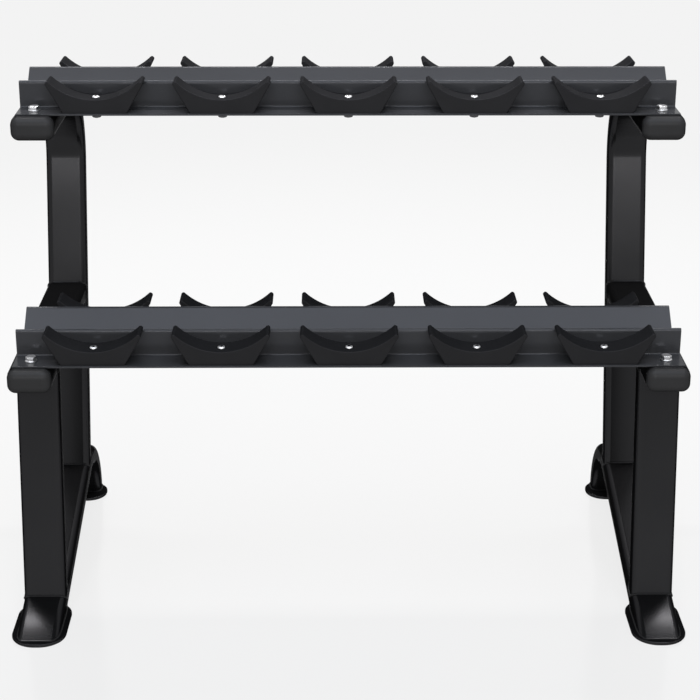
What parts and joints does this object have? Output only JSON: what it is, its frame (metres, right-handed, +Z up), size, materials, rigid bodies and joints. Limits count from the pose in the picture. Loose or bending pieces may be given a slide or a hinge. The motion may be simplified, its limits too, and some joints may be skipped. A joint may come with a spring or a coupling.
{
  "type": "dumbbell rack",
  "caption": "Free-standing two-tier rack of bent steel tube with folded trays and moulded rubber saddles that cradle dumbbell heads.",
  "frame": {"origin": "middle of the rack's width and depth, on the floor", "axes": "+X along the trays to the right as seen from the front, +Y to the back, +Z up"},
  "size_m": [1.151, 0.6609, 0.9005],
  "materials": {
    "frame_coat": "black satin powder coat on steel tube and plate",
    "tray_coat": "black satin powder coat on folded steel sheet",
    "saddle_rubber": "matt moulded black rubber",
    "cap_plastic": "moulded black plastic with a low sheen",
    "sole_rubber": "matt black rubber sheet",
    "zinc_plate": "bright zinc plate"
  },
  "bodies": {
    "root": {"left_upright": "frame_coat", "left_lower_arm": "frame_coat", "left_front_post": "frame_coat", "left_base_tube": "frame_coat", "left_front_foot_plate": "frame_coat", "left_front_foot_sole": "sole_rubber", "left_rear_foot_plate": "frame_coat", "left_rear_foot_sole": "sole_rubber", "left_lower_arm_cap": "cap_plastic", "left_upper_arm_cap": "cap_plastic", "right_upright": "frame_coat", "right_lower_arm": "frame_coat", "right_front_post": "frame_coat", "right_base_tube": "frame_coat", "right_front_foot_plate": "frame_coat", "right_front_foot_sole": "sole_rubber", "right_rear_foot_plate": "frame_coat", "right_rear_foot_sole": "sole_rubber", "right_lower_arm_cap": "cap_plastic", "right_upper_arm_cap": "cap_plastic", "lower_tray": "tray_coat", "lower_front_saddle_1": "saddle_rubber", "lower_front_saddle_2": "saddle_rubber", "lower_front_saddle_3": "saddle_rubber", "lower_front_saddle_4": "saddle_rubber", "lower_front_saddle_5": "saddle_rubber", "lower_rear_saddle_1": "saddle_rubber", "lower_rear_saddle_2": "saddle_rubber", "lower_rear_saddle_3": "saddle_rubber", "lower_rear_saddle_4": "saddle_rubber", "lower_rear_saddle_5": "saddle_rubber", "lower_saddle_screws": "zinc_plate", "lower_saddle_washers": "zinc_plate", "lower_saddle_nuts": "zinc_plate", "lower_tray_bolts": "zinc_plate", "lower_tray_washers": "zinc_plate", "lower_weld_nuts": "zinc_plate", "upper_tray": "tray_coat", "upper_front_saddle_1": "saddle_rubber", "upper_front_saddle_2": "saddle_rubber", "upper_front_saddle_3": "saddle_rubber", "upper_front_saddle_4": "saddle_rubber", "upper_front_saddle_5": "saddle_rubber", "upper_rear_saddle_1": "saddle_rubber", "upper_rear_saddle_2": "saddle_rubber", "upper_rear_saddle_3": "saddle_rubber", "upper_rear_saddle_4": "saddle_rubber", "upper_rear_saddle_5": "saddle_rubber", "upper_saddle_screws": "zinc_plate", "upper_saddle_washers": "zinc_plate", "upper_saddle_nuts": "zinc_plate", "upper_tray_bolts": "zinc_plate", "upper_tray_washers": "zinc_plate", "upper_weld_nuts": "zinc_plate"}
  },
  "joints": []
}
